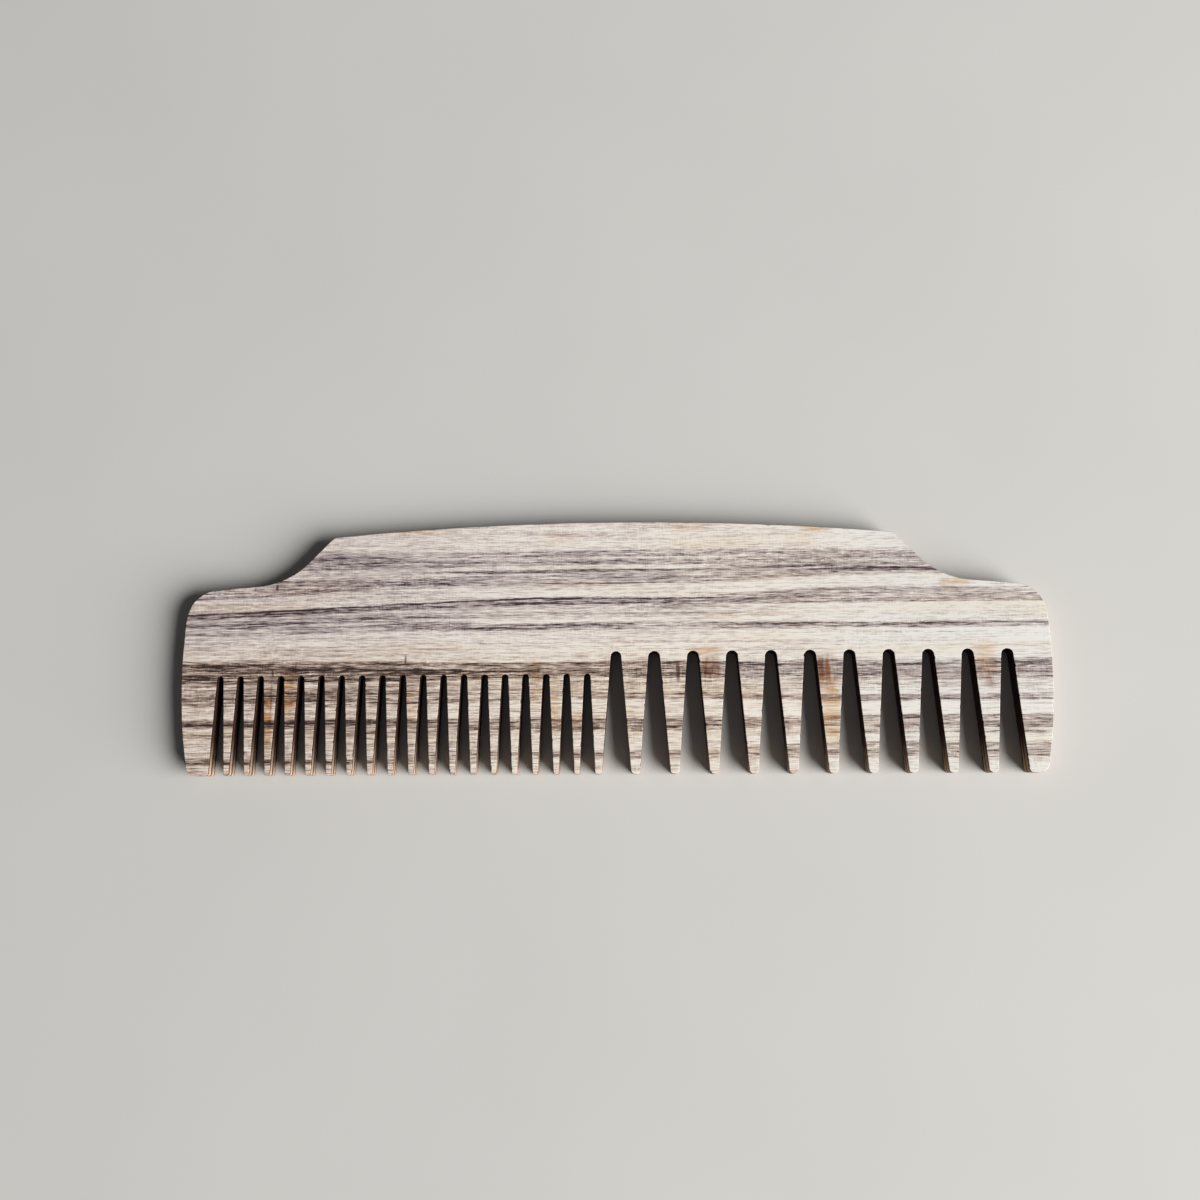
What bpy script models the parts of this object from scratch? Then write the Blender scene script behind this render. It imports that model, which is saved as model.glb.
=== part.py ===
"""Beard comb cut from a cross-laminated board.

Five thin sheets of wood are glued into one board, with the grain of each sheet across
the grain of its neighbours, and the comb's outline is cut through the whole stack. The
sheets and the glue films between them are modelled as the separate layers they are.

Frame: metres. +X runs along the comb towards its coarse end, +Y from the tooth tips
towards the spine, +Z up through the thickness from the back face to the striped front
face. The origin is the centre of the comb's rectangle, on the back face.
"""

import math

import bmesh
import bpy
from mathutils import Vector

MM = 0.001

# Overall size
LENGTH = 150.6 * MM
HEIGHT = 44.0 * MM
THICKNESS = 3.5 * MM

# Layup, through the thickness
FACE_VENEER = 0.50 * MM
CORE_PLY = 0.50 * MM
GLUE_FILM = 0.06 * MM
FILM_CLEARANCE = 0.01 * MM
FILM_COUNT = 4
CROSS_PLY = 0.5 * (
    THICKNESS - 2 * FACE_VENEER - CORE_PLY - FILM_COUNT * (GLUE_FILM + 2 * FILM_CLEARANCE)
)

# Back of the comb, measured from the middle of the length and up from the tooth tips
SHOULDER_HALF_WIDTH = 49.2 * MM
SHOULDER_HEIGHT = 41.75 * MM
SHOULDER_RADIUS = 1.5 * MM
NECK_HALF_WIDTH = 57.1 * MM
NECK_HEIGHT = 33.6 * MM
NECK_RADIUS = 13.5 * MM
EAR_HEIGHT = 32.05 * MM
EAR_RADIUS = 5.5 * MM
END_BULGE_RADIUS = 100.0 * MM
END_WIDEST_HEIGHT = 19.0 * MM
END_TIP_RADIUS = 1.8 * MM

# Fine teeth, left of the middle
FINE_SLOTS = 19
FINE_FIRST_X = -68.41 * MM
FINE_PITCH = 3.563 * MM
FINE_ROOT_HEIGHT = 17.18 * MM
FINE_ROOT_RADIUS = 0.52 * MM
FINE_TAPER = 0.049
FINE_TIP_RADIUS = 0.42 * MM

# Coarse teeth, right of the middle
COARSE_SLOTS = 10
COARSE_FIRST_X = 7.30 * MM
COARSE_PITCH = 6.71 * MM
COARSE_ROOT_HEIGHT = 21.03 * MM
COARSE_ROOT_RADIUS = 0.98 * MM
COARSE_TAPER = 0.081
COARSE_TIP_RADIUS = 0.70 * MM

# The slot where the two sets meet is as deep as the coarse ones but a little narrower
MIDDLE_X = 0.70 * MM
MIDDLE_ROOT_RADIUS = 0.87 * MM

# Straight pieces in each round stretch
SPINE_STEPS = 12
END_STEPS = 5
NECK_STEPS = 5
CORNER_STEPS = 4
SHOULDER_STEPS = 2
FINE_ROOT_STEPS = 6
COARSE_ROOT_STEPS = 8
FINE_TIP_STEPS = 2
COARSE_TIP_STEPS = 3

SMOOTH_LIMIT = math.radians(50.0)

# Colour, roughness and metallic value of each layer
ZEBRANO = ("zebrano_veneer", (0.66, 0.50, 0.38), 0.62, 0.0)
CROSS_WOOD = ("cross_ply_wood", (0.72, 0.55, 0.37), 0.70, 0.0)
CORE_WOOD = ("core_ply_wood", (0.42, 0.26, 0.15), 0.72, 0.0)
ADHESIVE = ("wood_glue", (0.20, 0.12, 0.07), 0.45, 0.0)

# Layers from the back face to the front face
LAYERS = [
    ("back_face_veneer", FACE_VENEER, ZEBRANO),
    ("back_veneer_glue", GLUE_FILM, ADHESIVE),
    ("back_cross_ply", CROSS_PLY, CROSS_WOOD),
    ("back_core_glue", GLUE_FILM, ADHESIVE),
    ("core_ply", CORE_PLY, CORE_WOOD),
    ("front_core_glue", GLUE_FILM, ADHESIVE),
    ("front_cross_ply", CROSS_PLY, CROSS_WOOD),
    ("front_veneer_glue", GLUE_FILM, ADHESIVE),
    ("front_face_veneer", FACE_VENEER, ZEBRANO),
]


def clear_scene():
    for item in list(bpy.data.objects):
        bpy.data.objects.remove(item, do_unlink=True)


def fillet(before, corner, after, radius, steps):
    """Points of the arc of this radius that touches both edges of a corner."""
    back = (before - corner).normalized()
    ahead = (after - corner).normalized()
    half_angle = 0.5 * back.angle(ahead)
    centre = corner + (back + ahead).normalized() * (radius / math.sin(half_angle))
    reach = radius / math.tan(half_angle)
    start = corner + back * reach - centre
    sweep = start.angle_signed(corner + ahead * reach - centre)
    points = []
    for step in range(steps + 1):
        turn = -sweep * step / steps
        cos_turn = math.cos(turn)
        sin_turn = math.sin(turn)
        spoke = Vector((
            start.x * cos_turn - start.y * sin_turn,
            start.x * sin_turn + start.y * cos_turn,
        ))
        points.append(centre + spoke)
    return points


def slot(centre_x, root_height, root_radius, taper, tip_radius, root_steps, tip_steps):
    """Corners of one slot, from its left mouth over its round root to its right mouth.

    The slot's walls run straight from the root circle, which they touch, to the tip line,
    and each wall leans outward by taper. Each corner is (point, radius, steps).
    """
    lean = math.atan(taper)
    centre = Vector((centre_x, root_height - root_radius))
    mouth_half = root_radius / math.cos(lean) + taper * centre.y
    corners = [(Vector((centre_x - mouth_half, 0.0)), tip_radius, tip_steps)]
    for step in range(root_steps + 1):
        angle = math.pi - lean - (math.pi - 2.0 * lean) * step / root_steps
        spoke = Vector((math.cos(angle), math.sin(angle))) * root_radius
        corners.append((centre + spoke, 0.0, 0))
    corners.append((Vector((centre_x + mouth_half, 0.0)), tip_radius, tip_steps))
    return corners


def teeth_corners():
    """Corners of the toothed edge, from left to right."""
    corners = []
    for index in range(FINE_SLOTS):
        corners += slot(
            FINE_FIRST_X + index * FINE_PITCH, FINE_ROOT_HEIGHT, FINE_ROOT_RADIUS,
            FINE_TAPER, FINE_TIP_RADIUS, FINE_ROOT_STEPS, FINE_TIP_STEPS,
        )
    coarse = [(MIDDLE_X, MIDDLE_ROOT_RADIUS)]
    for index in range(COARSE_SLOTS):
        coarse.append((COARSE_FIRST_X + index * COARSE_PITCH, COARSE_ROOT_RADIUS))
    for centre_x, root_radius in coarse:
        corners += slot(
            centre_x, COARSE_ROOT_HEIGHT, root_radius,
            COARSE_TAPER, COARSE_TIP_RADIUS, COARSE_ROOT_STEPS, COARSE_TIP_STEPS,
        )
    return corners


def spine_radius():
    """Radius of the arc that rises from the shoulders to the full height."""
    rise = HEIGHT - SHOULDER_HEIGHT
    return (SHOULDER_HALF_WIDTH ** 2 + rise ** 2) / (2.0 * rise)


def right_end_corners():
    """Corners of the right end, from the tooth tips up to the shoulder."""
    bulge_centre_x = 0.5 * LENGTH - END_BULGE_RADIUS
    corners = []
    for step in range(END_STEPS + 1):
        y = EAR_HEIGHT * step / END_STEPS
        reach = math.sqrt(END_BULGE_RADIUS ** 2 - (y - END_WIDEST_HEIGHT) ** 2)
        radius = {0: END_TIP_RADIUS, END_STEPS: EAR_RADIUS}.get(step, 0.0)
        corners.append((Vector((bulge_centre_x + reach, y)), radius, CORNER_STEPS))
    neck = Vector((NECK_HALF_WIDTH, NECK_HEIGHT))
    shoulder = Vector((SHOULDER_HALF_WIDTH, SHOULDER_HEIGHT))
    corners.append((neck, NECK_RADIUS, NECK_STEPS))
    corners.append((shoulder, SHOULDER_RADIUS, SHOULDER_STEPS))
    return corners


def spine_points():
    """Points of the crowned spine between the shoulders, from right to left."""
    radius = spine_radius()
    half_sweep = math.asin(SHOULDER_HALF_WIDTH / radius)
    points = []
    for step in range(1, SPINE_STEPS):
        angle = half_sweep * (1.0 - 2.0 * step / SPINE_STEPS)
        x = radius * math.sin(angle)
        y = HEIGHT - radius * (1.0 - math.cos(angle))
        points.append((Vector((x, y)), 0.0, 0))
    return points


def outline():
    """The comb's outline, anticlockwise seen from the front, centred on the origin."""
    right_end = right_end_corners()
    left_end = [
        (Vector((-point.x, point.y)), radius, steps)
        for point, radius, steps in reversed(right_end)
    ]
    corners = teeth_corners() + right_end + spine_points() + left_end
    points = []
    for index, (corner, radius, steps) in enumerate(corners):
        if radius == 0.0:
            points.append(corner)
            continue
        before = corners[index - 1][0]
        after = corners[(index + 1) % len(corners)][0]
        points += fillet(before, corner, after, radius, steps)
    return [Vector((point.x, point.y - 0.5 * HEIGHT)) for point in points]


def layer_mesh(name, points, thickness):
    """A flat sheet of this outline, with its lower face at z = 0."""
    bm = bmesh.new()
    ring = [bm.verts.new((point.x, point.y, 0.0)) for point in points]
    sheet = bm.faces.new(ring)
    grown = bmesh.ops.extrude_face_region(bm, geom=[sheet])
    top = [item for item in grown["geom"] if isinstance(item, bmesh.types.BMVert)]
    bmesh.ops.translate(bm, verts=top, vec=(0.0, 0.0, thickness))
    bmesh.ops.recalc_face_normals(bm, faces=bm.faces)
    mesh = bpy.data.meshes.new(name)
    bm.to_mesh(mesh)
    bm.free()
    mesh.shade_smooth()
    mesh.set_sharp_from_angle(angle=SMOOTH_LIMIT)
    return mesh


def layer_material(name, colour, roughness, metallic):
    existing = bpy.data.materials.get(name)
    if existing:
        return existing
    material = bpy.data.materials.new(name)
    material.use_nodes = True
    shader = material.node_tree.nodes["Principled BSDF"]
    shader.inputs["Base Color"].default_value = (*colour, 1.0)
    shader.inputs["Roughness"].default_value = roughness
    shader.inputs["Metallic"].default_value = metallic
    return material


def build_comb():
    points = outline()
    board = bpy.data.objects.new("comb", None)
    bpy.context.scene.collection.objects.link(board)
    height = 0.0
    for name, thickness, look in LAYERS:
        mesh = layer_mesh(name, points, thickness)
        mesh.materials.append(layer_material(*look))
        layer = bpy.data.objects.new(name, mesh)
        layer.location = (0.0, 0.0, height)
        layer.parent = board
        bpy.context.scene.collection.objects.link(layer)
        height += thickness + FILM_CLEARANCE


clear_scene()
build_comb()
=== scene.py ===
"""Looks of the beard comb: five sheets of wood and the glue between them, cut in one outline.

Each CAD layer is replaced by a sheet with the same outline, whose round stretches are
smoothed, whose outer edges are eased by sanding and whose cut edge wanders slightly.
The frame's +X runs along the comb, +Y to the spine and +Z out of the striped front face.
In the materials x is measured in mm from the comb's middle and y from the tooth tips.
"""

import math

import bpy
from mathutils import Matrix, Vector, noise


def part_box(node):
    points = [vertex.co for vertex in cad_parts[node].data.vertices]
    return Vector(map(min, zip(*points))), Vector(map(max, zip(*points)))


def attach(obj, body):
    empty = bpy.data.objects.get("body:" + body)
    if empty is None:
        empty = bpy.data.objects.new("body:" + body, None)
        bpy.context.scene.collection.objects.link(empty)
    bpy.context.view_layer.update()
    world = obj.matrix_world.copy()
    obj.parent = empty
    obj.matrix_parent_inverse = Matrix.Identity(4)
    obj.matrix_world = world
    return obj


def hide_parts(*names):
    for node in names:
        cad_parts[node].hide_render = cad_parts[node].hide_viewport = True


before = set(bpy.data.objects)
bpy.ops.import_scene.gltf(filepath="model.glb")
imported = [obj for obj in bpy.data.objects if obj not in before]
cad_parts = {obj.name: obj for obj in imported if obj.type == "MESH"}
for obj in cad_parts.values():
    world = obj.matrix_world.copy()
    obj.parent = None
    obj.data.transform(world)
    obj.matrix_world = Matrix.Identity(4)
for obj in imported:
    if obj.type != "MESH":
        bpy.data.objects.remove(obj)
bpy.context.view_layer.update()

MM = 0.001
HEIGHT_MM = 44.0

# Corners and levels of the CAD mesh closer together than this, in metres, are the same
SAME_SPOT = 1e-7
SAME_LEVEL = 1e-6

# Round stretches of the outline: straight edges of nearly one length that turn steadily
LEAST_ARC_TURN = math.radians(1.0)
MOST_ARC_TURN = math.radians(50.0)
ARC_EDGE_TOLERANCE = 0.03
ARC_STEP = math.radians(7.0)

# Cut edges: how far they are eased by sanding, wander from the line and chip
WALL_STEP = 0.30 * MM
EASE = 0.09 * MM
EASE_STEPS = 3
WANDER = 0.022 * MM
WANDER_WAVES = 0.45
WANDER_SEED_STEP = 9.7
CHIP_DEPTH = 0.30 * MM
CHIP_WAVES = 1.9
CHIP_THRESHOLD = 0.34
CHIP_SEED_STEP = 5.3
CHIP_SEED_START = 40.0
CORE_CHIP_SHARE = 0.5
SMOOTH_LIMIT = math.radians(38.0)

# Camera, in millimetres
CAMERA_AT = (5.1, -26.3, 205.9)
CAMERA_AIM = (-2.0, 8.1, 3.5)
CAMERA_ROLL = math.radians(-0.21)
CAMERA_LENS = 35.3
CAMERA_CLIP = 1.0 * MM


def paint(red, green, blue):
    """A colour given in 0 to 255 display values, as the linear RGBA that a shader takes."""
    linear = []
    for value in (red, green, blue):
        value /= 255.0
        linear.append(value / 12.92 if value <= 0.04045 else ((value + 0.055) / 1.055) ** 2.4)
    return (*linear, 1.0)


# Studio: pale air, one wide soft light from the right, and a floor a hair below the comb's
# back face, so that the two flat faces never coincide
AIR_COLOUR = (0.93, 0.96, 1.0, 1.0)
AIR_STRENGTH = 0.07
WINDOW_AT = Vector((1560.0, -650.0, 830.0)) * MM
WINDOW_SIZE = 1700.0 * MM
WINDOW_WATTS = 90.0
WINDOW_COLOUR = (1.0, 0.994, 0.985)
FLOOR_HALF = 1500.0 * MM
FLOOR_TOP = -0.01 * MM
FLOOR_WAVES = 0.02
FLOOR_TONES = [(0.3, paint(203, 201, 197)), (0.7, paint(206, 204, 200))]
FLOOR_ROUGHNESS = 0.9
FLOOR_SPECULAR = 0.05

# Painted shade in the slots between the teeth, where the neighbouring teeth keep out the light:
# none at the first number and full from the second, for the distance from the comb's middle, the
# height at the tooth tips and the height at the slots' roots
SLOT_SHADE_BROWN = paint(88, 56, 44)
SLOT_SHADE_X = (73.0, 71.5)
SLOT_SHADE_TIP_Y = (0.5, 7.0)
SLOT_SHADE_ROOT_Y = (22.5, 21.5)

WOOD_SPECULAR = 0.3


# ------------------------------------------------------------------ shader graph helper

class Graph:
    """Short names for the nodes of one material."""

    def __init__(self, name):
        self.material = bpy.data.materials.new(name)
        self.material.use_nodes = True
        self.tree = self.material.node_tree
        self.shader = self.tree.nodes["Principled BSDF"]

    def node(self, kind, **settings):
        made = self.tree.nodes.new(kind)
        for key, value in settings.items():
            setattr(made, key, value)
        return made

    def feed(self, socket, value):
        """Links a socket to a node's output, or sets it to a constant."""
        if isinstance(value, bpy.types.NodeSocket):
            self.tree.links.new(value, socket)
        else:
            socket.default_value = value

    def math(self, operation, *values, clamp=False):
        made = self.node("ShaderNodeMath", operation=operation, use_clamp=clamp)
        for socket, value in zip(made.inputs, values):
            self.feed(socket, value)
        return made.outputs[0]

    def add(self, *values):
        total = values[0]
        for value in values[1:]:
            total = self.math("ADD", total, value)
        return total

    def minus(self, value, *others):
        for other in others:
            value = self.math("SUBTRACT", value, other)
        return value

    def times(self, *values):
        total = values[0]
        for value in values[1:]:
            total = self.math("MULTIPLY", total, value)
        return total

    def weighted(self, *terms):
        """The sum of values, each given with its weight."""
        return self.add(*[self.times(value, weight) for value, weight in terms])

    def vector_math(self, operation, vector, constant):
        made = self.node("ShaderNodeVectorMath", operation=operation)
        self.feed(made.inputs[0], vector)
        made.inputs[1].default_value = constant
        return made.outputs

    def scaled(self, vector, scale):
        return self.vector_math("MULTIPLY", vector, scale)["Vector"]

    def shifted(self, vector, shift):
        return self.vector_math("ADD", vector, (shift,) * 3)["Vector"]

    def dot(self, vector, constant):
        return self.vector_math("DOT_PRODUCT", vector, constant)["Value"]

    def combine(self, x, y, z):
        made = self.node("ShaderNodeCombineXYZ")
        for socket, value in zip(made.inputs, (x, y, z)):
            self.feed(socket, value)
        return made.outputs[0]

    def split(self, vector):
        made = self.node("ShaderNodeSeparateXYZ")
        self.feed(made.inputs[0], vector)
        return made.outputs

    def noise(self, vector, detail=2.0, roughness=0.5):
        made = self.node("ShaderNodeTexNoise")
        self.feed(made.inputs["Vector"], vector)
        made.inputs["Scale"].default_value = 1.0
        made.inputs["Detail"].default_value = detail
        made.inputs["Roughness"].default_value = roughness
        return made.outputs["Fac"]

    def smooth(self, value, start, end, low=0.0, high=1.0):
        """low up to start and high from end on, with an even turn between them.

        Where start is the greater of the two, low lies above it and high below end.
        """
        made = self.node("ShaderNodeMapRange", interpolation_type="SMOOTHSTEP")
        self.feed(made.inputs["Value"], value)
        made.inputs["From Min"].default_value = min(start, end)
        made.inputs["From Max"].default_value = max(start, end)
        made.inputs["To Min"].default_value = low if start < end else high
        made.inputs["To Max"].default_value = high if start < end else low
        return made.outputs["Result"]

    def distance(self, value, centre):
        return self.math("ABSOLUTE", self.minus(value, centre))

    def window(self, value, centre, half, soft):
        """1 within half of centre, 0 beyond half + soft."""
        return self.smooth(self.distance(value, centre), half + soft, half)

    def ramp(self, value, stops):
        made = self.node("ShaderNodeValToRGB")
        elements = made.color_ramp.elements
        while len(elements) > 1:
            elements.remove(elements[-1])
        for index, (place, colour) in enumerate(stops):
            element = elements[0] if index == 0 else elements.new(place)
            element.position = place
            element.color = colour
        self.feed(made.inputs["Fac"], value)
        return made.outputs["Color"]

    def mix(self, factor, first, second, blend="MIX"):
        made = self.node("ShaderNodeMix", data_type="RGBA", blend_type=blend)
        self.feed(made.inputs["Factor"], factor)
        self.feed(made.inputs["A"], first)
        self.feed(made.inputs["B"], second)
        return made.outputs["Result"]

    def tint(self, share, colour, stain):
        """The colour with this share of a transparent stain over it."""
        return self.mix(share, colour, stain, "MULTIPLY")

    def place(self):
        """Place in mm from the frame's origin, as one vector."""
        texture = self.node("ShaderNodeTexCoord")
        return self.scaled(texture.outputs["Object"], (1.0 / MM,) * 3)

    def measures(self, place):
        """The parts of a place: x, y above the tooth tips, and z."""
        x, y, z = self.split(place)
        return x, self.add(y, 0.5 * HEIGHT_MM), z

    def facing(self, flat, steep):
        """0 where the surface lies flatter than flat, 1 where it is steeper than steep.

        Both are the height of the surface's normal: 1 on the faces, 0 on the cut edge.
        """
        geometry = self.node("ShaderNodeNewGeometry")
        rise = self.split(geometry.outputs["True Normal"])[2]
        return self.smooth(self.math("ABSOLUTE", rise), flat, steep)

    def slot_shaded(self, colour, x, y, most):
        """The colour with painted shade in the slots between the teeth, from a little above the
        tips up to the roots, where the neighbouring teeth keep out the light.
        """
        among_teeth = self.smooth(self.math("ABSOLUTE", x), *SLOT_SHADE_X)
        above_tips = self.smooth(y, *SLOT_SHADE_TIP_Y)
        below_roots = self.smooth(y, *SLOT_SHADE_ROOT_Y)
        inside = self.times(above_tips, below_roots, among_teeth)
        return self.tint(self.times(inside, most), colour, SLOT_SHADE_BROWN)

    def bump(self, height, relief_mm, strength):
        made = self.node("ShaderNodeBump")
        made.inputs["Strength"].default_value = strength
        made.inputs["Distance"].default_value = relief_mm * MM
        self.feed(made.inputs["Height"], height)
        self.feed(self.shader.inputs["Normal"], made.outputs["Normal"])

    def finish(self, colour, roughness, specular=WOOD_SPECULAR):
        self.feed(self.shader.inputs["Base Color"], colour)
        self.feed(self.shader.inputs["Roughness"], roughness)
        self.shader.inputs["Specular IOR Level"].default_value = specular
        return self.material


# ------------------------------------------------------------------ face veneer: what it shows

# The stripes are described at three places along the comb, its left end, its middle and its
# right end, which pass into each other over these stretches of x
LEFT_END_X = (-14.0, -46.0)
RIGHT_END_X = (10.0, 42.0)

# Tone of the wood between the stripes, 0 pale cream to 1 near black, at the three places
PALE_WOOD = (0.25, 0.15, 0.05)

# Dark stripes, bottom to top: height above the tooth tips and half width in mm, and how much
# darker the wood is there, each at the same three places. The last is a broad shade.
STRIPES = [
    ((2.2, 2.2, 2.2), (0.25, 0.20, 0.20), (0.42, 0.00, 0.00)),
    ((3.1, 3.4, 3.9), (0.60, 0.45, 1.15), (0.05, 0.38, 0.42)),
    ((7.2, 7.2, 7.0), (0.20, 0.20, 0.25), (0.10, 0.16, 0.18)),
    ((8.8, 8.5, 8.7), (0.40, 0.75, 0.95), (0.50, 0.42, 0.42)),
    ((13.4, 13.3, 12.8), (1.30, 0.35, 0.35), (0.28, 0.30, 0.46)),
    ((14.9, 15.0, 15.0), (1.50, 0.90, 0.70), (0.10, 0.20, 0.12)),
    ((17.6, 17.9, 17.2), (1.50, 1.25, 1.10), (0.44, 0.46, 0.44)),
    ((18.8, 19.1, 18.9), (0.30, 0.30, 0.30), (0.06, 0.10, 0.46)),
    ((27.0, 25.5, 25.4), (1.10, 0.40, 0.30), (0.30, 0.46, 0.54)),
    ((28.5, 27.6, 27.6), (0.20, 0.15, 0.20), (0.34, 0.26, 0.00)),
    ((29.2, 29.0, 29.0), (0.20, 0.70, 0.30), (0.00, 0.26, 0.00)),
    ((29.9, 30.0, 30.6), (0.30, 0.40, 1.10), (0.48, 0.44, 0.38)),
    ((33.5, 33.7, 34.8), (0.35, 0.75, 0.40), (0.38, 0.34, 0.38)),
    ((35.2, 35.2, 35.7), (0.20, 0.15, 0.30), (0.06, 0.44, 0.20)),
    ((37.0, 36.8, 36.6), (0.80, 0.35, 1.50), (0.42, 0.38, 0.38)),
    ((38.5, 38.3, 38.5), (0.35, 0.40, 0.20), (0.20, 0.44, 0.22)),
    ((9.5, 9.5, 9.5), (10.0, 9.5, 9.0), (0.09, 0.04, 0.02)),
]
STRIPE_SOFTNESS = 0.45

# The stripes above the teeth dip towards the left end, by this much per mm beyond this x
DIP_X = -14.0
DIP_SLOPE = 0.038
DIP_FROM_Y = (22.0, 25.5)
DIP_TO_Y = (34.0, 31.0)

# Thin dark lines: left end (x, y), right end (x, y), thickness, darkness, and how far the
# line is broken into dashes, 0 to 1
LINES = [
    ((-76.0, 30.3), (-4.0, 30.5), 0.20, 0.75, 0.25),
    ((-6.0, 30.4), (48.0, 30.3), 0.12, 0.35, 1.0),
    ((-70.0, 29.7), (-40.0, 29.9), 0.16, 0.40, 0.8),
    ((-76.0, 27.2), (-52.0, 28.1), 0.16, 0.35, 0.8),
    ((-72.0, 18.3), (-26.0, 18.0), 0.18, 0.55, 0.6),
    ((-76.0, 19.6), (-30.0, 19.4), 0.12, 0.45, 0.6),
    ((-40.0, 17.6), (-12.0, 17.9), 0.16, 0.55, 0.7),
    ((-76.0, 16.7), (-68.5, 16.7), 0.18, 0.95, 0.2),
    ((-76.0, 8.8), (-48.0, 8.9), 0.18, 0.55, 0.5),
    ((-6.0, 7.9), (24.0, 8.3), 0.18, 0.75, 0.6),
    ((-76.0, 2.1), (-48.0, 2.3), 0.14, 0.55, 0.6),
    ((-26.0, 25.6), (8.0, 25.8), 0.18, 0.45, 0.8),
    ((10.0, 25.7), (76.0, 25.6), 0.14, 0.30, 0.7),
    ((25.0, 24.9), (45.0, 24.5), 0.12, 0.45, 1.0),
    ((44.0, 24.1), (64.0, 24.0), 0.10, 0.35, 1.0),
    ((-28.0, 22.8), (-17.0, 22.5), 0.12, 0.50, 0.9),
    ((-57.0, 23.7), (-44.0, 23.6), 0.10, 0.35, 1.0),
    ((63.0, 18.7), (76.0, 18.6), 0.14, 0.60, 0.4),
    ((38.0, 16.7), (46.0, 16.7), 0.14, 0.65, 0.7),
    ((1.0, 13.7), (7.0, 13.7), 0.14, 0.50, 0.7),
    ((9.5, 13.5), (14.0, 13.6), 0.14, 0.50, 0.7),
    ((40.0, 12.7), (76.0, 12.5), 0.12, 0.40, 0.8),
    ((40.0, 9.8), (76.0, 9.7), 0.12, 0.50, 0.6),
    ((40.0, 6.9), (76.0, 7.0), 0.12, 0.45, 1.0),
    ((-10.0, 41.5), (14.0, 41.6), 0.10, 0.40, 1.0),
    ((-45.0, 38.0), (-15.0, 38.0), 0.12, 0.35, 0.8),
    ((-50.0, 36.9), (-20.0, 37.0), 0.12, 0.45, 0.8),
    ((-55.0, 34.3), (52.0, 34.4), 0.10, 0.22, 1.0),
    ((-30.0, 33.0), (20.0, 33.1), 0.10, 0.45, 1.0),
    ((40.0, 33.1), (60.0, 33.0), 0.10, 0.35, 1.0),
    ((5.0, 37.3), (50.0, 36.8), 0.12, 0.20, 0.8),
]
LINE_CORE = 0.3
LINE_FADE_X = 3.0
LINE_STRENGTH = 0.75

# Stains in the wood, tan and rusty: centre (x, y), half size (x, y) and strength
TAN_STAINS = [
    ((37.4, 10.5), (1.6, 5.6), 1.00), ((16.0, 21.0), (3.0, 1.0), 0.60),
    ((-56.4, 13.6), (1.2, 4.4), 1.00), ((-59.8, 9.5), (0.9, 5.5), 1.00),
    ((-13.2, 15.5), (0.9, 4.5), 0.50), ((-9.8, 11.5), (0.9, 4.5), 0.60),
    ((-6.2, 8.7), (0.9, 1.6), 0.60), ((-34.6, 11.8), (0.9, 3.5), 0.45),
    ((63.8, 19.5), (2.0, 2.6), 0.75), ((59.5, 32.6), (2.6, 0.9), 0.60),
    ((35.5, 42.6), (3.0, 0.9), 0.65), ((-34.5, 42.7), (3.0, 0.6), 0.55),
    ((13.5, 42.6), (2.6, 1.4), 0.35), ((-9.0, 41.2), (3.6, 1.2), 0.30),
    ((33.0, 40.6), (3.0, 1.6), 0.22), ((-41.0, 9.6), (1.2, 0.7), 0.50),
]
RUST_STAINS = [
    ((17.0, 17.9), (1.9, 1.9), 0.90), ((36.6, 17.6), (1.6, 2.6), 1.00),
    ((64.2, 16.8), (1.5, 2.4), 0.60), ((-56.4, 17.6), (1.2, 1.6), 0.35),
    ((-12.9, 18.2), (0.9, 1.5), 0.35), ((6.6, 18.6), (0.9, 1.6), 0.25),
]

# Small red-brown marks across the grain, with the same five numbers as the stains
MARKS = [
    ((11.4, 17.4), (0.34, 1.7), 0.85), ((-59.3, 13.0), (0.20, 3.6), 0.45),
    ((-59.0, 32.8), (0.24, 0.6), 0.85), ((-35.9, 19.8), (0.18, 0.8), 0.80),
    ((-59.2, 17.6), (0.20, 0.6), 0.80), ((35.9, 18.6), (0.60, 1.3), 0.45),
]
SPOT_CORE = 0.4

# Noise about zero: waves per mm along and across the grain, a shift that gives each its own
# pattern, detail, roughness and strength
RIPPLES = {
    "waver": (0.035, 0.12, 3.0, 2.0, 0.5, 0.40),
    "broad": (0.02, 0.9, 7.0, 3.0, 0.5, 0.45),
    "fine": (0.05, 2.8, 13.0, 5.0, 0.65, 1.60),
    "hair": (0.45, 5.0, 19.0, 4.0, 0.5, 1.80),
    "across": (4.5, 0.6, 23.0, 2.0, 0.5, 0.46),
    "wobble": (0.25, 0.3, 37.0, 2.0, 0.5, 0.50),
    "blur": (0.8, 0.8, 43.0, 2.0, 0.5, 0.40),
    "spread_x": (0.5, 0.9, 59.0, 2.0, 0.5, 2.20),
    "spread_y": (0.5, 0.5, 61.0, 2.0, 0.5, 3.00),
}

# Noise made into spots: waves per mm along and across the grain, shift and detail as above,
# then the noise where a spot begins, the noise where it is full, and its least strength
SPECKLES = {
    "pores": (0.45, 7.0, 29.0, 1.0, 0.64, 0.73, 0.0),
    "dashes": (0.7, 0.8, 41.0, 3.0, 0.34, 0.60, 0.0),
    "blotches": (0.12, 2.4, 67.0, 3.0, 0.25, 0.62, 0.0),
    # Painted glints along the fibres
    "fibre_glints": (0.10, 4.6, 71.0, 2.0, 0.55, 0.66, 0.0),
    "patches": (0.06, 0.2, 73.0, 2.0, 0.35, 0.65, 0.4),
    "specks": (1.3, 4.5, 83.0, 1.0, 0.62, 0.71, 0.0),
    "runs": (1.6, 0.25, 89.0, 2.0, 0.25, 0.60, 0.35),
}
DRIFT = (0.03, 0.30, 47.0, 2.0)
WAVES_DEEP = 0.5
VENEER_SEED_STEP = 31.0
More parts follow.
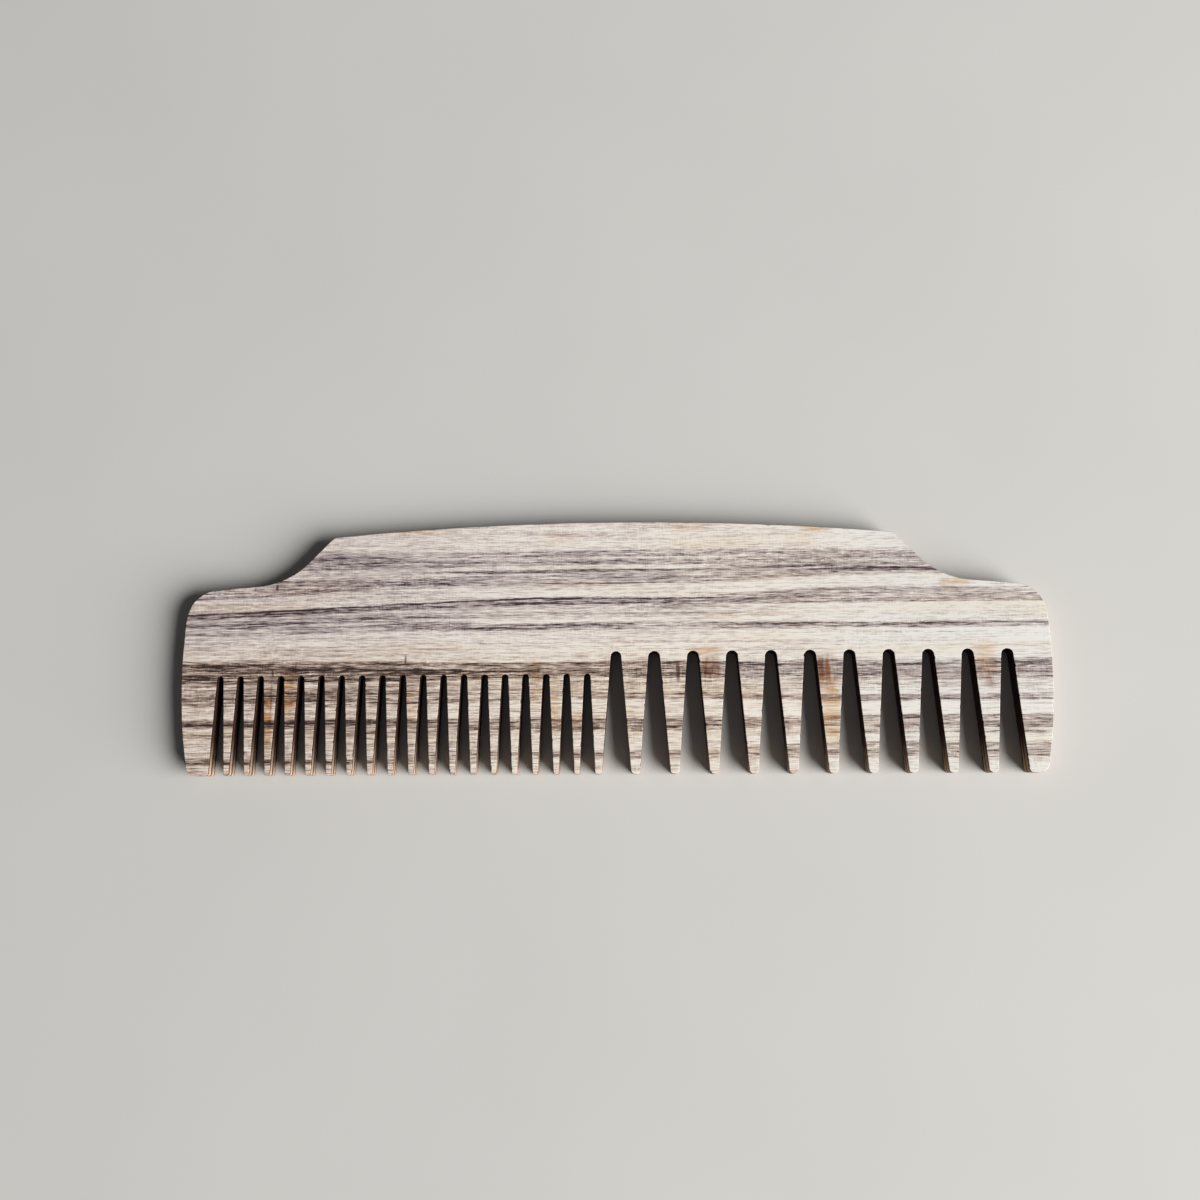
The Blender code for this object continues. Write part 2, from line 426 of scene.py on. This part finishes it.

# Fibres stand out more in dark wood, and pores too. Painted glints along the fibres, and pale
# specks, lighten it.
FIBRE_LEAST = 0.70
FIBRE_BY_TONE = 0.55
PORE_LEAST = 0.10
PORE_BY_TONE = 0.45
FIBRE_GLINT_TONE = (0.20, 0.60)
FIBRE_GLINT_STRENGTH = 0.30
SPECK_STRENGTH = 0.34

# Colours of the wood by tone. It is brown below and turns mauve over these heights, which
# drift, and come lower on the right, where the mauve is also weaker.
MAUVE_TONES = [
    (0.00, paint(235, 229, 220)), (0.20, paint(217, 207, 198)), (0.42, paint(191, 179, 174)),
    (0.62, paint(160, 147, 147)), (0.80, paint(124, 110, 110)), (1.00, paint(56, 44, 43)),
]
BROWN_TONES = [
    (0.00, paint(235, 228, 217)), (0.20, paint(218, 205, 191)), (0.42, paint(190, 172, 158)),
    (0.62, paint(155, 136, 124)), (0.80, paint(118, 98, 87)), (1.00, paint(50, 37, 31)),
]
MAUVE_Y = (23.0, 29.5)
MAUVE_DRIFT = 9.0
MAUVE_LOWER_X = (5.0, 40.0)
MAUVE_LOWER_BY = 12.0
MAUVE_WEAKER_X = (-10.0, 40.0)
MAUVE_WEAKEST = 0.55

# Stains over the wood: rosy towards the left end, bleached towards the right end, straw in
# drifts, and the colours of marks and stains
ROSY = paint(253, 251, 252)
ROSY_X = (0.0, -60.0)
BLEACHED = paint(246, 250, 255)
BLEACHED_X = (15.0, 60.0)
STRAW = paint(252, 242, 224)
STRAW_DRIFT = (0.50, 0.72)
STRAW_STRENGTH = 0.45
MARK_BROWN = paint(120, 72, 60)
TAN = paint(226, 184, 130)
RUST = paint(186, 134, 100)

# Edges, told apart by the height of the surface's normal: the eased edge and the cut edge.
# For each, how much of its stain it takes and how much painted shade it takes in the slots.
EASED_EDGE = (0.98, 0.80)
EASED_TAN = paint(198, 158, 132)
EASED_SHARE = 0.6
EASED_SLOT_SHADE = 0.7
CUT_EDGE = (0.85, 0.50)
END_GRAIN_TONES = [(0.0, paint(146, 106, 86)), (1.0, paint(70, 43, 34))]
END_GRAIN_WAVES = (2.2, 2.2, 1.5)
END_GRAIN_FLECKS = (0.40, 0.58)
END_GRAIN_SHARE = 0.8
END_GRAIN_SLOT_SHADE = 0.9

VENEER_ROUGHNESS = 0.56
VENEER_RELIEF_MM = 0.035
VENEER_BUMP = 0.55


# ------------------------------------------------------------------ face veneer: its material

class Veneer(Graph):
    """Nodes of a striped veneer with its grain along X. mirror turns it end for end."""

    def __init__(self, name, seed, mirror):
        super().__init__(name)
        self.whole_place = self.place()
        self.x, self.y, self.z = self.measures(self.whole_place)
        if mirror:
            self.x = self.times(self.x, -1.0)
        self.seed_shift = VENEER_SEED_STEP * seed
        self.patches = self.speckle("patches")
        self.fine = self.ripple("fine")
        self.hair = self.ripple("hair")
        self.across = self.times(self.ripple("across"), self.patches)
        self.drift = self.grain(*DRIFT)

    def grain(self, per_x, per_y, shift, detail, roughness=0.5):
        """Noise with this many waves per mm along and across the grain."""
        coords = self.combine(
            self.times(self.x, per_x),
            self.add(self.times(self.y, per_y), shift + self.seed_shift),
            self.times(self.z, WAVES_DEEP),
        )
        return self.noise(coords, detail, roughness)

    def ripple(self, name):
        """Noise about zero, as listed in RIPPLES."""
        *settings, strength = RIPPLES[name]
        return self.times(self.minus(self.grain(*settings), 0.5), strength)

    def speckle(self, name):
        """Spots of strength up to 1, as listed in SPECKLES."""
        *settings, begin, full, least = SPECKLES[name]
        return self.smooth(self.grain(*settings), begin, full, least, 1.0)


def stripe_level(veneer):
    """Height of a place in the pattern of stripes, which dip and waver a little."""
    beyond = veneer.math("MAXIMUM", veneer.minus(DIP_X, veneer.x), 0.0)
    dip = veneer.times(
        beyond, DIP_SLOPE, veneer.smooth(veneer.y, *DIP_FROM_Y), veneer.smooth(veneer.y, *DIP_TO_Y),
    )
    return veneer.add(veneer.y, dip, veneer.ripple("waver"))


def stripe_tone(veneer, level):
    """Tone of the striped wood. The stripes run on from one end of the comb to the other."""
    left = veneer.smooth(veneer.x, *LEFT_END_X)
    right = veneer.smooth(veneer.x, *RIGHT_END_X)
    shares = veneer.combine(left, veneer.minus(1.0, left, right), right)
    tone = veneer.dot(shares, PALE_WOOD)
    for heights, halves, darkness in STRIPES:
        distance = veneer.distance(level, veneer.dot(shares, heights))
        beyond = veneer.minus(distance, veneer.dot(shares, halves))
        inside = veneer.smooth(beyond, STRIPE_SOFTNESS, 0.0)
        tone = veneer.add(tone, veneer.times(inside, veneer.dot(shares, darkness)))
    return tone


def open_pores(veneer, tone):
    """Short dark pores that lie along the fibres."""
    strength = veneer.add(PORE_LEAST, veneer.times(tone, PORE_BY_TONE))
    return veneer.times(veneer.speckle("pores"), strength)


def fibre_tone(veneer, tone, pores):
    """The tone with fibres, broad to fine, pores, painted glints along the fibres and pale specks.
    """
    depth = veneer.add(FIBRE_LEAST, veneer.times(tone, FIBRE_BY_TONE))
    fibres = veneer.times(veneer.add(veneer.ripple("broad"), veneer.fine, veneer.hair), depth)
    # Painted glints: light streaks along the fibres, showing in the darker wood
    fibre_glints = veneer.times(
        veneer.speckle("fibre_glints"), veneer.smooth(tone, *FIBRE_GLINT_TONE), FIBRE_GLINT_STRENGTH,
    )
    specks = veneer.times(veneer.speckle("specks"), veneer.patches, SPECK_STRENGTH)
    return veneer.minus(veneer.add(tone, fibres, veneer.across, pores), fibre_glints, specks)


def line_tone(veneer, tone, level):
    """The tone with the single dark lines, which wobble and break up, kept within 0 to 1."""
    wobble = veneer.add(level, veneer.ripple("wobble"))
    dashes = veneer.speckle("dashes")
    for (x0, y0), (x1, y1), thickness, darkness, broken in LINES:
        slope = (y1 - y0) / (x1 - x0)
        path = veneer.add(veneer.times(veneer.x, slope), y0 - slope * x0)
        across = veneer.window(veneer.minus(wobble, path), 0.0, LINE_CORE * thickness, thickness)
        half_length = 0.5 * (x1 - x0)
        along = veneer.window(veneer.x, x0 + half_length, half_length - LINE_FADE_X, LINE_FADE_X)
        solid = veneer.add(veneer.times(dashes, broken), 1.0 - broken)
        tone = veneer.add(tone, veneer.times(across, along, solid, LINE_STRENGTH * darkness))
    return veneer.math("ADD", tone, 0.0, clamp=True)


def wood_colour(veneer, tone, level):
    """Colour of the bare wood, brown to mauve, which changes a little along the comb."""
    lower = veneer.smooth(veneer.x, *MAUVE_LOWER_X, 0.0, MAUVE_LOWER_BY)
    risen = veneer.add(level, veneer.times(veneer.drift, MAUVE_DRIFT), lower)
    strength = veneer.smooth(veneer.x, *MAUVE_WEAKER_X, 1.0, MAUVE_WEAKEST)
    mauve = veneer.times(veneer.smooth(risen, *MAUVE_Y), strength)
    colour = veneer.mix(mauve, veneer.ramp(tone, BROWN_TONES), veneer.ramp(tone, MAUVE_TONES))
    colour = veneer.tint(veneer.smooth(veneer.x, *ROSY_X), colour, ROSY)
    colour = veneer.tint(veneer.smooth(veneer.x, *BLEACHED_X), colour, BLEACHED)
    straw = veneer.smooth(veneer.drift, *STRAW_DRIFT, 0.0, STRAW_STRENGTH)
    return veneer.tint(straw, colour, STRAW)


def spots(veneer, x, y, listed):
    """How strongly a list of stains or marks shows at this place, 0 to 1."""
    total = 0.0
    for (spot_x, spot_y), (half_x, half_y), strength in listed:
        spot = veneer.times(
            veneer.window(x, spot_x, SPOT_CORE * half_x, half_x),
            veneer.window(y, spot_y, SPOT_CORE * half_y, half_y), strength,
        )
        total = veneer.math("MAXIMUM", total, spot)
    return total


def stained(veneer, colour):
    """The colour with marks across the grain, blotchy tan stains and rusty runs."""
    marks = spots(veneer, veneer.add(veneer.x, veneer.ripple("blur")), veneer.y, MARKS)
    colour = veneer.tint(marks, colour, MARK_BROWN)
    x = veneer.add(veneer.x, veneer.ripple("spread_x"))
    y = veneer.add(veneer.y, veneer.ripple("spread_y"))
    tan = veneer.times(spots(veneer, x, y, TAN_STAINS), veneer.speckle("blotches"))
    colour = veneer.tint(tan, colour, TAN)
    rust = veneer.times(spots(veneer, x, y, RUST_STAINS), veneer.speckle("runs"))
    return veneer.tint(rust, colour, RUST)


def edged(veneer, colour):
    """The colour, rubbed tan on the eased edge, with dark end grain in dashes on the cut one, and
    painted shade on both in the slots.
    """
    rubbed = veneer.tint(EASED_SHARE, colour, EASED_TAN)
    # Painted shade on the eased edge in the slots between the teeth
    rubbed = veneer.slot_shaded(rubbed, veneer.x, veneer.y, EASED_SLOT_SHADE)
    colour = veneer.mix(veneer.facing(*EASED_EDGE), colour, rubbed)
    flecks = veneer.noise(veneer.scaled(veneer.whole_place, END_GRAIN_WAVES))
    end_grain = veneer.ramp(veneer.smooth(flecks, *END_GRAIN_FLECKS), END_GRAIN_TONES)
    end_grain = veneer.tint(END_GRAIN_SHARE, colour, end_grain)
    # Painted shade on the cut edge in the slots between the teeth
    end_grain = veneer.slot_shaded(end_grain, veneer.x, veneer.y, END_GRAIN_SLOT_SHADE)
    return veneer.mix(veneer.facing(*CUT_EDGE), colour, end_grain)


def zebrano(name, seed, mirror=False):
    """Striped veneer with its grain along X. mirror turns the pattern end for end."""
    veneer = Veneer(name, seed, mirror)
    level = stripe_level(veneer)
    tone = stripe_tone(veneer, level)
    pores = open_pores(veneer, tone)
    tone = line_tone(veneer, fibre_tone(veneer, tone, pores), level)
    colour = edged(veneer, stained(veneer, wood_colour(veneer, tone, level)))
    height = veneer.weighted(
        (veneer.fine, 0.9), (veneer.hair, 0.8), (veneer.across, 0.7), (pores, -1.6),
    )
    veneer.bump(height, VENEER_RELIEF_MM, VENEER_BUMP)
    roughness = veneer.add(
        VENEER_ROUGHNESS, veneer.times(tone, 0.14), veneer.times(veneer.hair, 0.2),
    )
    return veneer.finish(colour, roughness)


# ------------------------------------------------------------------ inner layers

# Colours of a ply: pale, dark and in its pores
CROSS_TONES = (paint(190, 169, 146), paint(148, 122, 98), paint(100, 74, 56))
CORE_TONES = (paint(112, 70, 50), paint(78, 47, 34), paint(48, 29, 22))

# Waves per mm of the noises in a ply. The cutter's marks run through the thickness.
PLY_ALONG = 0.12
PLY_ACROSS = 5.0
PLY_SEED_STEP = 17.0
PLY_DRIFT_WAVES = (0.05, 0.08, 0.4)
PLY_PORE_STRETCH = (1.0, 1.8, 1.0)
CUTTER_WAVES = (7.0, 7.0, 0.6)
SCORCH_WAVES = (0.5, 0.5, 0.3)

# Noise where pores and scorch begin and are full, how strong they are, and the painted shade in the
# slots
PLY_PORES = (0.62, 0.72)
PLY_PORE_STRENGTH = 0.6
SCORCH = (0.5, 0.75)
SCORCH_STRENGTH = 0.35
PLY_SLOT_SHADE = 0.95

PLY_ROUGHNESS = 0.62
PLY_RELIEF_MM = 0.04
PLY_BUMP = 0.6

GLUE_TONES = [(0.3, paint(62, 40, 29)), (0.55, paint(88, 58, 42)), (0.8, paint(122, 88, 66))]
GLUE_BLOT_WAVES = (0.9, 0.9, 0.9)
GLUE_GRIT_WAVES = (8.0, 8.0, 8.0)
GLUE_ROUGHNESS = 0.38
GLUE_RELIEF_MM = 0.02
GLUE_BUMP = 0.5


def ply_wood(name, grain_along, tones, seed):
    """Plain wood with its grain along X or Y, with end grain where the cut crosses it, and painted
    shade in the slots.
    """
    pale, dark, shadow = tones
    graph = Graph(name)
    place = graph.place()
    x, y = graph.measures(place)[:2]
    if grain_along == "X":
        waves = (PLY_ALONG, PLY_ACROSS, PLY_ACROSS)
    else:
        waves = (PLY_ACROSS, PLY_ALONG, PLY_ACROSS)
    grain = graph.shifted(graph.scaled(place, waves), PLY_SEED_STEP * seed)
    fibres = graph.noise(grain, detail=4.0, roughness=0.6)
    drift = graph.noise(graph.scaled(place, PLY_DRIFT_WAVES))
    tone = graph.weighted((fibres, 0.8), (drift, 0.35))
    colour = graph.ramp(tone, [(0.25, dark), (0.62, pale), (0.85, pale)])
    pores = graph.noise(graph.scaled(grain, PLY_PORE_STRETCH), detail=1.0)
    pores = graph.smooth(pores, *PLY_PORES)
    colour = graph.mix(graph.times(pores, PLY_PORE_STRENGTH), colour, shadow)
    scorch = graph.smooth(graph.noise(graph.scaled(place, SCORCH_WAVES)), *SCORCH)
    colour = graph.mix(graph.times(scorch, SCORCH_STRENGTH), colour, shadow)
    # Painted shade on the ply's cut edge in the slots between the teeth
    colour = graph.slot_shaded(colour, x, y, PLY_SLOT_SHADE)
    cutter_marks = graph.noise(graph.scaled(place, CUTTER_WAVES))
    height = graph.weighted((fibres, 0.6), (cutter_marks, 0.7), (pores, -0.9))
    graph.bump(height, PLY_RELIEF_MM, PLY_BUMP)
    return graph.finish(colour, graph.add(PLY_ROUGHNESS, graph.times(fibres, 0.2)))


def glue(name):
    """Brown cured glue in paler and darker blots, with a fine grit."""
    graph = Graph(name)
    place = graph.place()
    blots = graph.noise(graph.scaled(place, GLUE_BLOT_WAVES), detail=3.0)
    grit = graph.noise(graph.scaled(place, GLUE_GRIT_WAVES))
    graph.bump(graph.add(blots, grit), GLUE_RELIEF_MM, GLUE_BUMP)
    roughness = graph.add(GLUE_ROUGHNESS, graph.times(grit, 0.3))
    return graph.finish(graph.ramp(blots, GLUE_TONES), roughness)


# ------------------------------------------------------------------ sheet geometry

def outline_ring(node):
    """The outline of a CAD layer, anticlockwise from above, as (x, y) vectors in metres."""
    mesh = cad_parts[node].data
    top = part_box(node)[1].z

    def key(corner):
        return round(corner.x / SAME_SPOT), round(corner.y / SAME_SPOT)

    numbers = {}
    points = []
    for vertex in mesh.vertices:
        if abs(vertex.co.z - top) < SAME_LEVEL and key(vertex.co) not in numbers:
            numbers[key(vertex.co)] = len(points)
            points.append(Vector((vertex.co.x, vertex.co.y)))
    edges = set()
    for face in mesh.polygons:
        corners = [mesh.vertices[index].co for index in face.vertices]
        if all(abs(corner.z - top) < SAME_LEVEL for corner in corners):
            ids = [numbers[key(corner)] for corner in corners]
            edges.update(zip(ids, ids[1:] + ids[:1]))
    following = {first: second for first, second in edges if (second, first) not in edges}
    ring = [min(following)]
    while following[ring[-1]] != ring[0]:
        ring.append(following[ring[-1]])
    return [points[number] for number in ring]


def turn_between(before, after):
    """Signed angle from one edge to the next, positive to the left."""
    return math.atan2(before.cross(after), before.dot(after))


def arc_points(start, edge, span):
    """Points between the ends of an edge, on the arc that turns by span along it."""
    radius = 0.5 * edge.length / math.sin(0.5 * span)
    ahead = edge.normalized()
    inward = Vector((-ahead.y, ahead.x))
    centre = start + 0.5 * edge + inward * radius * math.cos(0.5 * span)
    spoke = start - centre
    steps = max(2, math.ceil(abs(span) / ARC_STEP))
    points = []
    for step in range(1, steps):
        angle = span * step / steps
        points.append(centre + Vector((
            spoke.x * math.cos(angle) - spoke.y * math.sin(angle),
            spoke.x * math.sin(angle) + spoke.y * math.cos(angle),
        )))
    return points


def smooth_arcs(ring):
    """Adds points on the true arc wherever equal edges turn steadily."""
    count = len(ring)
    edges = [ring[(i + 1) % count] - ring[i] for i in range(count)]
    lengths = [edge.length for edge in edges]
    turns = [turn_between(edges[i - 1], edges[i]) for i in range(count)]
    smooth = []
    for i in range(count):
        smooth.append(ring[i])
        after = (i + 1) % count
        span = 0.0
        for corner, neighbour in ((i, i - 1), (after, after)):
            alike = abs(lengths[neighbour] - lengths[i]) < ARC_EDGE_TOLERANCE * lengths[i]
            if alike and LEAST_ARC_TURN < abs(turns[corner]) < MOST_ARC_TURN:
                span = turns[corner]
        if span:
            smooth += arc_points(ring[i], edges[i], span)
    return smooth


def divide_walls(ring):
    """Splits long edges, so that a cut edge can wander along them."""
    divided = []
    for index, point in enumerate(ring):
        following = ring[(index + 1) % len(ring)]
        steps = max(1, round((following - point).length / WALL_STEP))
        for step in range(steps):
            divided.append(point.lerp(following, step / steps))
    return divided


def inward_normals(ring):
    """Unit vectors into the wood, at each point of an anticlockwise ring."""
    normals = []
    for index, point in enumerate(ring):
        before = (point - ring[index - 1]).normalized()
        after = (ring[(index + 1) % len(ring)] - point).normalized()
        ahead = (before + after).normalized()
        normals.append(Vector((-ahead.y, ahead.x)))
    return normals


def noise_at(spot, waves, seed):
    """Noise at a place in mm, with this many waves per mm."""
    return noise.noise(spot * waves + Vector((0.0, 0.0, seed)))


def wandering(ring, seed, chips):
    """The ring after a hand-fed cutter: a slight wander, and chips where fibres tore."""
    moved = []
    for point, normal in zip(ring, inward_normals(ring)):
        spot = Vector((point.x, point.y, 0.0)) / MM
        drift = noise_at(spot, WANDER_WAVES, WANDER_SEED_STEP * seed)
        torn = noise_at(spot, CHIP_WAVES, CHIP_SEED_STEP * seed + CHIP_SEED_START)
        depth = WANDER * (0.5 + 0.5 * drift) + chips * max(0.0, torn - CHIP_THRESHOLD)
        moved.append(point + normal * depth)
    return moved


def quarter_round(ease):
    """Steps from a face to the cut edge as (inset, depth). One step where nothing is eased."""
    steps = []
    for step in range(EASE_STEPS + 1 if ease else 1):
        angle = 0.5 * math.pi * step / EASE_STEPS
        steps.append((ease * (1.0 - math.sin(angle)), ease * (1.0 - math.cos(angle))))
    return steps


def sheet_mesh(name, outline, profile):
    """A closed mesh: two flat faces joined by the cut edge, which follows the profile."""
    vertices = []
    normals = inward_normals(outline)
    for inset, z in profile:
        for point, normal in zip(outline, normals):
            spot = point + normal * inset
            vertices.append((spot.x, spot.y, z))
    count = len(outline)
    faces = [tuple(reversed(range(count)))]
    for base in range(0, len(vertices) - count, count):
        for index in range(count):
            after = (index + 1) % count
            faces.append((base + index, base + after, base + count + after, base + count + index))
    faces.append(tuple(range(len(vertices) - count, len(vertices))))
    mesh = bpy.data.meshes.new(name)
    mesh.from_pydata(vertices, [], faces)
    mesh.update()
    mesh.shade_smooth()
    mesh.set_sharp_from_angle(angle=SMOOTH_LIMIT)
    for index in (0, len(faces) - 1):
        mesh.polygons[index].use_smooth = False
    return mesh


def build_sheet(node, ring, seed, chips, ease_low, ease_high):
    """One layer of the board, eased at its lower or upper edge."""
    low, high = (corner.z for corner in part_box(node))
    profile = [(inset, low + depth) for inset, depth in quarter_round(ease_low)]
    profile += [(inset, high - depth) for inset, depth in reversed(quarter_round(ease_high))]
    mesh = sheet_mesh(node + "_sheet", wandering(ring, seed, chips), profile)
    piece = bpy.data.objects.new(node + "_sheet", mesh)
    bpy.context.scene.collection.objects.link(piece)
    return piece


def build_comb():
    """The nine layers, each with its slot, material, chips, and ease at its two edges."""
    front = zebrano("zebrano_front", 1.0)
    back = zebrano("zebrano_back", 4.0, mirror=True)
    cross = ply_wood("cross_ply_wood", "Y", CROSS_TONES, 2.0)
    core = ply_wood("core_ply_wood", "X", CORE_TONES, 5.0)
    film = glue("wood_glue_film")
    layers = [
        ("back_face_veneer", "face_veneer", back, CHIP_DEPTH, EASE, 0.0),
        ("back_veneer_glue", "wood_glue", film, 0.0, 0.0, 0.0),
        ("back_cross_ply", "cross_ply", cross, 0.0, 0.0, 0.0),
        ("back_core_glue", "wood_glue", film, 0.0, 0.0, 0.0),
        ("core_ply", "core_ply", core, CORE_CHIP_SHARE * CHIP_DEPTH, 0.0, 0.0),
        ("front_core_glue", "wood_glue", film, 0.0, 0.0, 0.0),
        ("front_cross_ply", "cross_ply", cross, 0.0, 0.0, 0.0),
        ("front_veneer_glue", "wood_glue", film, 0.0, 0.0, 0.0),
        ("front_face_veneer", "face_veneer", front, CHIP_DEPTH, 0.0, EASE),
    ]
    ring = divide_walls(smooth_arcs(outline_ring("front_face_veneer")))
    for seed, (node, slot, material, chips, ease_low, ease_high) in enumerate(layers):
        piece = build_sheet(node, ring, seed, chips, ease_low, ease_high)
        piece.data.materials.append(material)
        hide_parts(node)
        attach(piece, "root")


# ------------------------------------------------------------------ studio

def build_air():
    world = bpy.data.worlds.new("studio_air")
    world.use_nodes = True
    background = world.node_tree.nodes["Background"]
    background.inputs["Color"].default_value = AIR_COLOUR
    background.inputs["Strength"].default_value = AIR_STRENGTH
    bpy.context.scene.world = world


def build_window_light():
    """A disk of light that faces the frame's origin."""
    light = bpy.data.lights.new("window_light", "AREA")
    light.shape = "DISK"
    light.size = WINDOW_SIZE
    light.energy = WINDOW_WATTS
    light.color = WINDOW_COLOUR
    item = bpy.data.objects.new("window_light", light)
    item.location = WINDOW_AT
    item.rotation_euler = WINDOW_AT.to_track_quat("Z", "Y").to_euler()
    bpy.context.scene.collection.objects.link(item)


def pale_floor():
    """Matt pale floor, all but even."""
    graph = Graph("pale_floor")
    grit = graph.noise(graph.scaled(graph.place(), (FLOOR_WAVES,) * 3))
    roughness = graph.add(FLOOR_ROUGHNESS, graph.times(grit, 0.1))
    return graph.finish(graph.ramp(grit, FLOOR_TONES), roughness, FLOOR_SPECULAR)


def build_floor():
    corners = [(-1, -1), (1, -1), (1, 1), (-1, 1)]
    mesh = bpy.data.meshes.new("floor")
    mesh.from_pydata(
        [(FLOOR_HALF * x, FLOOR_HALF * y, FLOOR_TOP) for x, y in corners], [], [(0, 1, 2, 3)],
    )
    mesh.materials.append(pale_floor())
    floor = bpy.data.objects.new("floor", mesh)
    bpy.context.scene.collection.objects.link(floor)


def build_camera():
    """The camera at its place, aimed and rolled, with +Y of the frame up in the picture."""
    data = bpy.data.cameras.new("camera")
    data.lens = CAMERA_LENS
    data.clip_start = CAMERA_CLIP
    camera = bpy.data.objects.new("camera", data)
    place = Vector(CAMERA_AT) * MM
    ahead = (Vector(CAMERA_AIM) * MM - place).normalized()
    level = ahead.cross(Vector((0.0, 1.0, 0.0))).normalized()
    right = level * math.cos(CAMERA_ROLL) + level.cross(ahead) * math.sin(CAMERA_ROLL)
    up = right.cross(ahead)
    camera.matrix_world = Matrix((
        (right.x, up.x, -ahead.x, place.x),
        (right.y, up.y, -ahead.y, place.y),
        (right.z, up.z, -ahead.z, place.z),
        (0.0, 0.0, 0.0, 1.0),
    ))
    bpy.context.scene.collection.objects.link(camera)
    bpy.context.scene.camera = camera


build_camera()
build_comb()
bpy.context.scene.view_settings.view_transform = "Standard"
build_air()
build_window_light()
build_floor()
